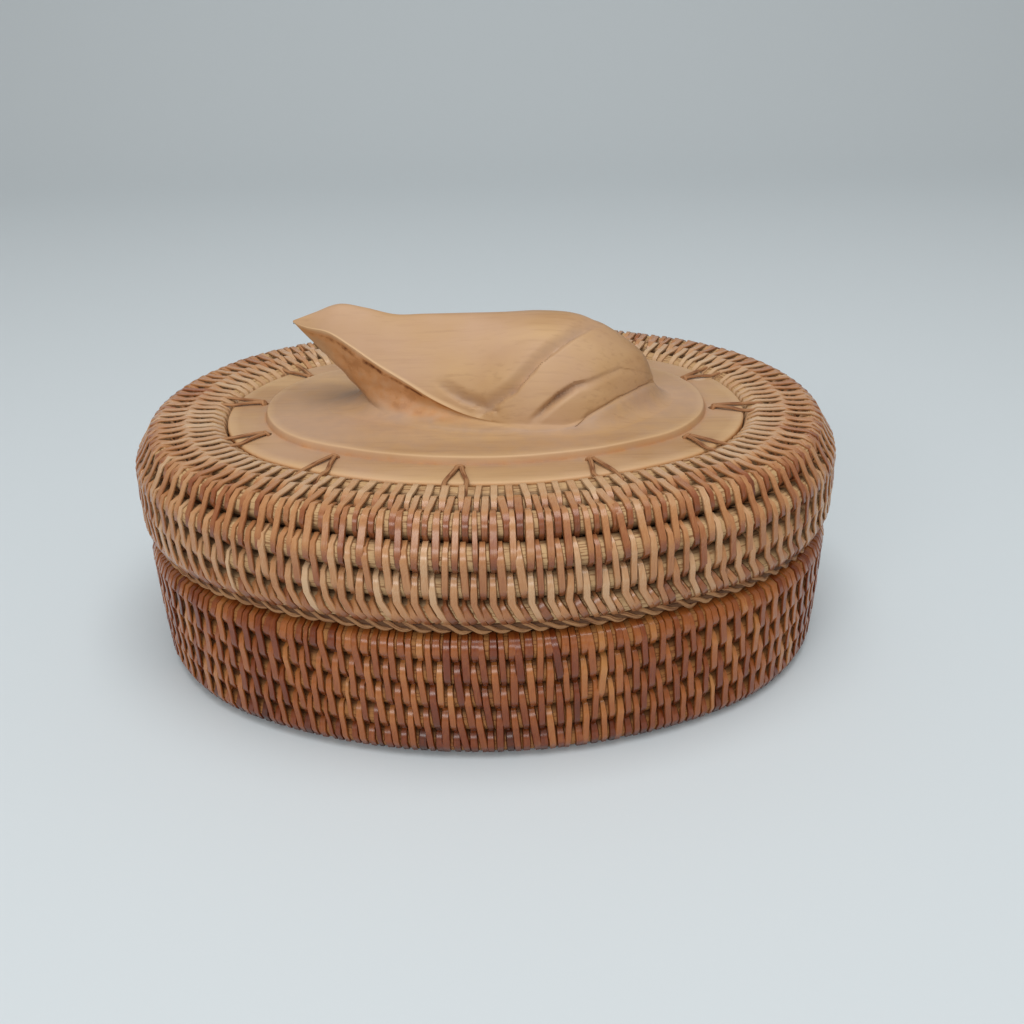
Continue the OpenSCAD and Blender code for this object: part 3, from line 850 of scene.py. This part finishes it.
tie_count = 12
first_tie = 0.485
tie_angles = [normal_at(first_tie + i / tie_count) for i in range(tie_count)]
hole_places = [on_oval(angle, hole_set_in, ledge_height) for angle in tie_angles]
drills = []
for spot in hole_places:
    bpy.ops.mesh.primitive_cylinder_add(vertices=14, radius=1.15 * mm, depth=14 * mm, location=spot * mm)
    drills.append(bpy.context.object)
drill = join_pieces("drill", drills)
drill.select_set(False)
board.select_set(True)
bpy.context.view_layer.objects.active = board
holes = board.modifiers.new("holes", "BOOLEAN")
holes.object = drill
holes.operation = "DIFFERENCE"
bpy.ops.object.modifier_apply(modifier="holes")
bpy.data.objects.remove(drill)

# Stations of the figure from snout to rump, in hundredths of its length, half-width
# and height: spine x and z, sharp edge x, y and z, foot x and y, fullness of the flank
figure_length = 102.0
figure_half = 25.5
figure_tall = 29.0
figure_middle = -2.0
crest = 2.0
stations = [
    (0, 85, -0.3, 0, 84, 14.5, 0, 20),
    (0.5, 85.5, 0.3, 3, 83, 15, 6, 30),
    (6, 92, 4, 10, 80, 15.5, 14, 25),
    (13, 100, 10, 21, 78, 17, 22, 25),
    (20, 96, 16, 31, 67, 20, 36, 22),
    (28, 89, 23, 40, 51, 25, 53, 22),
    (36, 89, 31, 49, 35, 32, 69, 26),
    (44, 89, 39, 58, 19, 41, 83, 34),
    (52, 89, 48, 70, 8, 50, 91, 45),
    (60, 89, 58, 87, 6, 59, 95, 60),
    (68, 89, 67, 95, 7, 67, 100, 65),
    (76, 87, 75, 91, 6, 75, 97, 58),
    (83, 79, 83, 74, 15, 83, 82, 52),
    (90, 64, 90, 51, 21, 91, 57, 50),
    (96, 46, 96, 27, 22, 97, 33, 50),
    (98.6, 27, 99, 8, 17, 100, 10, 50),
    (99.3, 15, 99.4, 0, 14, 100.3, 0, 50),
]


def between(p, q, r, s, t):
    """Point of a soft curve from q to r, where p lies before them and s after."""
    bend = (2 * p - 5 * q + 4 * r - s) * t * t + (3 * q - p - 3 * r + s) * t**3
    return 0.5 * (2 * q + (r - p) * t + bend)


def station_at(place):
    """Values of the stations at a place among them."""
    last = len(stations) - 1
    k = min(int(place), last - 1)
    t = place - k
    near = [stations[min(max(k + step, 0), last)] for step in (-1, 0, 1, 2)]
    return [between(p, q, r, s, t) for p, q, r, s in zip(*near)]


def bowed(start, control, finish, t):
    return start * (1 - t) ** 2 + control * 2 * t * (1 - t) + finish * t * t


def figure_foot(place):
    row = station_at(place)
    return Vector((row[5] / 100 * figure_length, -row[6] / 100 * figure_half, 0))


def figure_flare(place):
    """Height and reach of the hollow curve in which the figure runs out on the field."""
    front = ease((6.5 - place) / 5)
    back = ease((place - 9.7) / 2.5)
    return 0.5 + 3.3 * front, 3.5 + 10.5 * front + 3.5 * back, back


def figure_point(place, down):
    """Point of the near half: place runs from snout to rump, down from the spine to the field."""
    spine_x, spine_z, edge_x, edge_y, edge_z, _, _, full = station_at(place)
    scale = Vector((figure_length, figure_half, figure_tall)) / 100
    spine = Vector((spine_x, 0, spine_z)) * scale
    edge = Vector((edge_x, -edge_y, edge_z)) * scale
    ahead = figure_foot(min(place + 0.1, len(stations) - 1)) - figure_foot(max(place - 0.1, 0))
    away = Vector((ahead.y, -ahead.x, 0)).normalized()
    away = Vector((-1, 0, 0)).lerp(away, ease(place / 2.5)).normalized()
    if place > len(stations) - 1.1:
        away = Vector((1, 0, 0))
    lift, reach, back = figure_flare(place)
    lift += (edge.z * 0.85 - lift) * back
    foot = figure_foot(place) - away * (reach - 3.5) * 0.25
    foot = foot.lerp(edge + away * 0.6, back)
    foot.y = min(foot.y, figure_foot(place).y * 0.5 * (1 - back))
    foot.z = lift
    rise = 0.2 + 0.2 * ease(1 - place / 5)
    hollow = edge.lerp(foot, 0.6)
    hollow.y = edge.y * 0.62 + foot.y * 0.15
    hollow.z = edge.z * rise + lift * 0.5
    hollow = hollow.lerp((edge + foot) / 2, ease((place - 7) / 2.5))
    brow = (edge + spine) / 2
    brow = brow.lerp(Vector((brow.x, edge.y, spine.z)), full / 100)
    if down <= 1:
        spot = bowed(spine, brow, edge, down)
        slope = (spine.z - brow.z) / max(0.5, -brow.y)
        spot.z += slope * (crest - spot.y - math.hypot(spot.y, crest)) * (1 - down)
        return spot
    if down <= 2:
        return bowed(edge, hollow, foot, down - 1)
    out = down - 2
    spot = foot + away * reach * out
    spot.z = lift * (1 - out) ** 2.8 - 0.08 * out
    return spot


# Cuts of the knife on the near flank, which the far one mirrors: points with the depth
# at each, the width of the soft side, the width of the steep side, and where the soft side lies
knife_cuts = [
    ([(-14, -12.8, 79.9, 0), (-10, -14.6, 76.8, 0.8), (-6.1, -16.1, 74.9, 1.1),
      (1, -19.2, 73.2, 1.4)], 4.0, 1.0, 1),
    ([(1, -19.2, 73.2, 1.4), (8.4, -19.7, 78.9, 2.0), (13.3, -18, 83.7, 1.9),
      (19.7, -13.7, 88.3, 1.5), (27.7, -6.6, 90.9, 0.9), (33, -1, 90.9, 0.2)], 4.5, 1.0, 1),
    ([(12.6, -23.4, 72.0, 0.2), (16.5, -22.5, 75.5, 2.0), (20.5, -21.4, 78.3, 2.5),
      (24.9, -19.2, 80.3, 1.6), (28.5, -17.3, 80.3, 0.6), (33.4, -13.5, 81.1, 0.45),
      (37.3, -10, 81.4, 0.4), (45.7, -3.2, 77.1, 0.1)], 2.4, 1.1, -1),
    ([(24, -23.2, 68.7, 0.3), (28.4, -20.4, 72.3, 0.6), (35.7, -14.8, 74.3, 0.6),
      (43.4, -7.3, 75.1, 0.5), (46.5, -3.4, 75, 0.2)], 2.6, 1.1, -1),
]


def cut_at(spot, normal):
    """Depth of the knife's cuts at a point of the figure, and how much of it is a soft hollow."""
    deep = 0.0
    soft = 0.0
    for points, soft_wide, steep_wide, soft_side in knife_cuts:
        best = None
        for start, finish in zip(points, points[1:]):
            begin = Vector(start[:3])
            along = Vector(finish[:3]) - begin
            t = min(1, max(0, (spot - begin).dot(along) / along.length_squared))
            offset = spot - begin - along * t
            if best is None or offset.length < best[0]:
                side = along.cross(offset).dot(normal)
                best = (offset.length, start[3] + (finish[3] - start[3]) * t, side)
        distance, depth, side = best
        wide = soft_wide if side * soft_side > 0 else steep_wide
        share = ease(1 - distance / wide)
        deep = max(deep, depth * share)
        soft = max(soft, share * min(1, depth))
    return deep, soft


flank_rows = 70
chest_rows = 30
skirt_rows = 14
all_rows = flank_rows + chest_rows + skirt_rows
columns = 300
bpy.ops.object.select_all(action="DESELECT")
bpy.ops.mesh.primitive_grid_add(
    x_subdivisions=columns, y_subdivisions=all_rows, size=1, location=(0, 0, 0)
)
figure = bpy.context.object
figure.name = "carved_figure"
spots = []
for corner in figure.data.vertices:
    place = (corner.co.x + 0.5) * (len(stations) - 1)
    row = (0.5 - corner.co.y) * all_rows
    down = min(row / flank_rows, 1)
    down += min(max((row - flank_rows) / chest_rows, 0), 1)
    down += max((row - flank_rows - chest_rows) / skirt_rows, 0)
    spots.append((place, down))
    at = Vector((figure_middle - figure_length / 2, 0, field_height))
    corner.co = (at + figure_point(place, down)) * mm
figure.data.update()
hollow = figure.data.attributes.new("hollow", "FLOAT", "POINT")
worn = figure.data.attributes.new("worn", "FLOAT", "POINT")
stain_and_shade = figure.data.attributes.new("stain_and_shade", "FLOAT", "POINT")
normals = [corner.normal.copy() for corner in figure.data.vertices]
for corner, normal, (place, down) in zip(figure.data.vertices, normals, spots):
    deep, soft = cut_at(corner.co / mm, normal)
    chest = ease((down - 1) / 0.12) * ease((1.95 - down) / 0.3) * ease((8.5 - place) / 2)
    tanned = chest * ease((place - 1.2) / 2.2)
    ripple = noise.noise(corner.co * 90) * 0.14
    ripple += chest * (noise.noise(corner.co * 170) * 0.55 + noise.noise(corner.co * 400) * 0.3)
    ripple *= ease((place - 0.3) / 1.2) * ease((len(stations) - 1.3 - place) / 1.2)
    ripple *= ease(down / 0.1) * ease((2.2 - down) / 0.3)
    corner.co += normal * (ripple - deep) * mm
    near_foot = ease((down - 1.45) / 0.5) * ease((3.0 - down) / 0.9)
    ridge = ease(1 - abs(down - 0.99) / 0.035) * ease((8.8 - place) / 1.5)
    # Painted shade: a dark line just under the sharp edge, and darker colour in the deepest cuts. The
    # chest's orange-brown is the wood's own stain.
    under = ease(1 - abs(down - 1.07) / 0.07) * ease((8.5 - place) / 1.5)
    hollow.data[corner.index].value = min(1, 0.8 * soft + 0.6 * near_foot)
    worn.data[corner.index].value = ridge
    stain_and_shade.data[corner.index].value = min(1, 0.7 * under + 0.7 * tanned + 0.45 * ease((deep - 1.5) / 0.8))
mirror = figure.modifiers.new("far half", "MIRROR")
mirror.use_axis = (False, True, False)
mirror.merge_threshold = 0.03 * mm
bpy.ops.object.modifier_apply(modifier="far half")
bpy.ops.object.mode_set(mode="EDIT")
bpy.ops.mesh.select_mode(type="VERT")
bpy.ops.mesh.select_all(action="SELECT")
bpy.ops.mesh.normals_make_consistent(inside=False)
bpy.ops.mesh.select_all(action="DESELECT")
bpy.ops.mesh.select_non_manifold()
bpy.ops.mesh.extrude_region_move(TRANSFORM_OT_translate={"value": (0, 0, -0.001)})
bpy.ops.mesh.edge_face_add()
bpy.ops.object.mode_set(mode="OBJECT")
bpy.ops.object.shade_smooth_by_angle(angle=math.radians(38))
board = join_pieces("carved_lid_panel", [board, figure])


wood, tree, shader = new_material("carved wood", {"Specular IOR Level": 0.4})
place = add_node(tree, "TexCoord")
broad = add_node(tree, "Mapping", {"Scale": (9, 55, 55)})
fine = add_node(tree, "Mapping", {"Scale": (60, 900, 900)})
grain = add_node(tree, "TexNoise", {"Scale": 1, "Detail": 6, "Distortion": 0.6})
pores = add_node(tree, "TexNoise", {"Scale": 1, "Detail": 3})
cloud = add_node(tree, "TexNoise", {"Scale": 38, "Detail": 4})
blots = add_node(tree, "TexNoise", {"Scale": 260, "Detail": 8, "Roughness": 0.62})
specks = add_node(tree, "TexNoise", {"Scale": 230, "Detail": 5})
colours = add_ramp(tree, (0.3, (0.405, 0.221, 0.097, 1)), (0.68, (0.55, 0.343, 0.168, 1)))
pore_lines = add_ramp(tree, (0.30, (0.45, 0.35, 0.28, 1)), (0.46, (1, 1, 1, 1)))
pored = add_mix(tree, {0: 0.2}, "MULTIPLY")
pink_share = add_node(tree, "MapRange", {"From Min": 0.42, "From Max": 0.66, "To Max": 0.7})
pinked = add_mix(tree, {7: (0.50, 0.31, 0.195, 1)})
# Stain and painted shade: the chest's own orange-brown stain, with painted shade under the sharp edge
# and in the deepest cuts, darkest where they meet.
stain_and_shade_mask = add_mask(tree, "stain_and_shade")
stain_and_shade_break = add_node(tree, "MapRange", {"From Min": 0.36, "From Max": 0.6, "To Min": 0.5})
stain_and_shade_share = add_node(tree, "Math", operation="MULTIPLY")
stain_and_shade_colour = add_ramp(tree, (0.6, (0.50, 0.20, 0.045, 1)), (1, (0.14, 0.042, 0.011, 1)))
stained_and_shaded = add_mix(tree)
hollow_mask = add_mask(tree, "hollow")
dust_break = add_node(tree, "MapRange", {"From Min": 0.25, "From Max": 0.7})
dust_share = add_node(tree, "Math", operation="MULTIPLY")
dusted = add_mix(tree, {7: (0.36, 0.235, 0.165, 1)})
worn_mask = add_mask(tree, "worn")
worn_share = add_node(tree, "Math", {1: 0.75}, "MULTIPLY")
rubbed = add_mix(tree, {7: (0.74, 0.50, 0.27, 1)})
knot_place = add_node(tree, "VectorMath", {1: (0.0645, 0.020, 0.0669)}, "DISTANCE")
knot_share = add_node(tree, "MapRange", {"From Min": 0.0032, "From Max": 0.0016, "To Max": 0.55})
knotted = add_mix(tree, {7: (0.72, 0.58, 0.43, 1)})
rough = add_node(tree, "MapRange", {"To Min": 0.40, "To Max": 0.62})
bump = add_node(tree, "Bump", {"Strength": 0.18, "Distance": 0.0003})
add_links(
    tree,
    (place, "Object", broad, "Vector"),
    (broad, "Vector", grain, "Vector"),
    (grain, "Fac", colours, "Fac"),
    (place, "Object", fine, "Vector"),
    (fine, "Vector", pores, "Vector"),
    (pores, "Fac", pore_lines, "Fac"),
    (colours, "Color", pored, 6),
    (pore_lines, "Color", pored, 7),
    (place, "Object", cloud, "Vector"),
    (cloud, "Fac", pink_share, "Value"),
    (pink_share, "Result", pinked, 0),
    (pored, 2, pinked, 6),
    (place, "Object", blots, "Vector"),
    (blots, "Fac", stain_and_shade_break, "Value"),
    (stain_and_shade_mask, "Fac", stain_and_shade_share, 0),
    (stain_and_shade_break, "Result", stain_and_shade_share, 1),
    (stain_and_shade_share, 0, stained_and_shaded, 0),
    (pinked, 2, stained_and_shaded, 6),
    (stain_and_shade_share, 0, stain_and_shade_colour, "Fac"),
    (stain_and_shade_colour, "Color", stained_and_shaded, 7),
    (place, "Object", specks, "Vector"),
    (specks, "Fac", dust_break, "Value"),
    (dust_break, "Result", dust_share, 0),
    (hollow_mask, "Fac", dust_share, 1),
    (dust_share, 0, dusted, 0),
    (stained_and_shaded, 2, dusted, 6),
    (worn_mask, "Fac", worn_share, 0),
    (worn_share, 0, rubbed, 0),
    (dusted, 2, rubbed, 6),
    (place, "Object", knot_place, 0),
    (knot_place, "Value", knot_share, "Value"),
    (knot_share, "Result", knotted, 0),
    (rubbed, 2, knotted, 6),
    (knotted, 2, shader, "Base Color"),
    (grain, "Fac", rough, "Value"),
    (rough, "Result", shader, "Roughness"),
    (pores, "Fac", bump, "Height"),
    (bump, "Normal", shader, "Normal"),
)
board.data.materials.clear()
board.data.materials.append(wood)
board.select_set(False)
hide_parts("carved_panel")
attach(board, "lid")

# Lashings: thin strands of rattan that come up through each hole, lie over the ledge
# in a V and go down between the stitches round the first turn, so they hold the panel.
first_set_in, first_height = lid_turns[0]


def smooth_path(points, steps):
    """More points on a soft line through the given ones."""
    path = []
    for k in range(len(points) - 1):
        p, q, r, s = (points[min(max(k + step, 0), len(points) - 1)] for step in (-1, 0, 1, 2))
        path += [between(p, q, r, s, i / steps) for i in range(steps)]
    path.append(points[-1])
    return path


def flat_strand(name, path, half):
    """A strand half as thick as it is wide, laid along the path."""
    strand = wind_core(name, path, [half] * len(path))
    sides = len(strand.data.vertices) // len(path)
    for corner in strand.data.vertices:
        middle = path[min(corner.index // sides, len(path) - 1)].z * mm
        corner.co.z = middle + (corner.co.z - middle) * 0.6
    return strand


strands = []
for angle, hole in zip(tie_angles, hole_places):
    outward = Vector((math.cos(angle), math.sin(angle), 0))
    sideways = up.cross(outward)
    for way in (-1, 1):
        oval_radius = end_radius if abs(math.cos(angle)) > math.cos(end_half) else wall_radius
        foot = angle + way * dice.uniform(2.4, 3.3) / (oval_radius - first_set_in)
        leg = [
            hole - up * 1.6 + sideways * way * 0.3,
            hole + up * 0.5 + sideways * way * 0.4 + outward * 0.5,
            hole.lerp(on_oval(foot, ledge_set_in, ledge_height), 0.5) + up * 0.75,
            on_oval(foot, ledge_set_in + 0.2, ledge_height + 0.45),
            on_oval(foot, first_set_in + 1.6, first_height + 3.5),
            on_oval(foot, first_set_in - 1.2, first_height + 3.3),
            on_oval(foot, first_set_in - 3.3, first_height + 1.2),
        ]
        strands.append(flat_strand("lashing_leg", smooth_path(leg, 4), 0.65))
    knot = [
        hole - up * 1.2 + sideways * 1.0,
        hole + up * 0.4 + sideways * 0.9 + outward * 0.3,
        hole + up * 0.95 + outward * 0.7,
        hole + up * 0.4 - sideways * 0.9 + outward * 0.3,
        hole - up * 1.2 - sideways * 1.0,
    ]
    strands.append(flat_strand("lashing_knot", smooth_path(knot, 3), 0.55))
lashings = join_pieces("panel_lashings", strands)
lashing_skin = core_material("rattan lashing", (0.47, 0.245, 0.11, 1), (0.29, 0.125, 0.05, 1))
lashings.data.materials.append(lashing_skin)
lashings.select_set(False)
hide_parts("lid_lashings")
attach(lashings, "lid")

# Studio: a plain pale floor and backdrop, soft light from above and a camera that
# stands where the photographer stood.
paper_wide = 12.0
paper_long = 9.0
paper_front = 6.0
bend_start = 0.7
bend_length = 0.8
bend_radius = bend_length / (math.pi / 2)
paper_below = 0.0003
bpy.ops.mesh.primitive_grid_add(x_subdivisions=2, y_subdivisions=160, size=1, location=(0, 0, 0))
paper = bpy.context.object
paper.name = "studio_paper"
for corner in paper.data.vertices:
    run = (corner.co.y + 0.5) * paper_long - paper_front
    turn = min(max(run - bend_start, 0), bend_length) / bend_radius
    deep = min(run, bend_start) + bend_radius * math.sin(turn)
    high = bend_radius * (1 - math.cos(turn)) + max(run - bend_start - bend_length, 0)
    corner.co = Vector((corner.co.x * paper_wide, deep, high - paper_below))
bpy.ops.object.shade_smooth()
paper_finish = {"Base Color": (0.66, 0.72, 0.75, 1), "Roughness": 0.9}
paper.data.materials.append(new_material("studio paper", paper_finish)[0])
paper.select_set(False)

world = bpy.data.worlds.new("studio")
bpy.context.scene.world = world
world.use_nodes = True
set_values(world.node_tree.nodes["Background"], {"Color": (1.0, 0.975, 0.95, 1), "Strength": 0.33})
studio_lamps = [
    ((0.05, -0.2, 1.1), 0.75, 0.75, 7.0),
    ((-0.25, -1.0, 0.6), 1.0, 0.26, 4.8),
]
for spot, wide, tall, power in studio_lamps:
    bpy.ops.object.light_add(type="AREA", location=spot)
    lamp = bpy.context.object
    lamp.data.shape = "RECTANGLE"
    lamp.data.size = wide
    lamp.data.size_y = tall
    lamp.data.energy = power
    lamp.rotation_euler = (Vector((0, 0, 0.05)) - lamp.location).to_track_quat("-Z", "Y").to_euler()

bpy.ops.object.camera_add(location=(0.00705, -0.2978, 0.187))
camera = bpy.context.object
camera_dip = 0.480
camera_roll = -0.017
tilt = Matrix.Rotation(math.pi / 2 - camera_dip, 3, "X") @ Matrix.Rotation(camera_roll, 3, "Z")
camera.rotation_euler = tilt.to_euler()
picture_width = 1024
focal_pixels = 1100
camera.data.sensor_width = 36
camera.data.lens = focal_pixels / picture_width * camera.data.sensor_width
camera.data.clip_start = 0.01
bpy.context.scene.camera = camera
bpy.context.scene.view_settings.view_transform = "Standard"
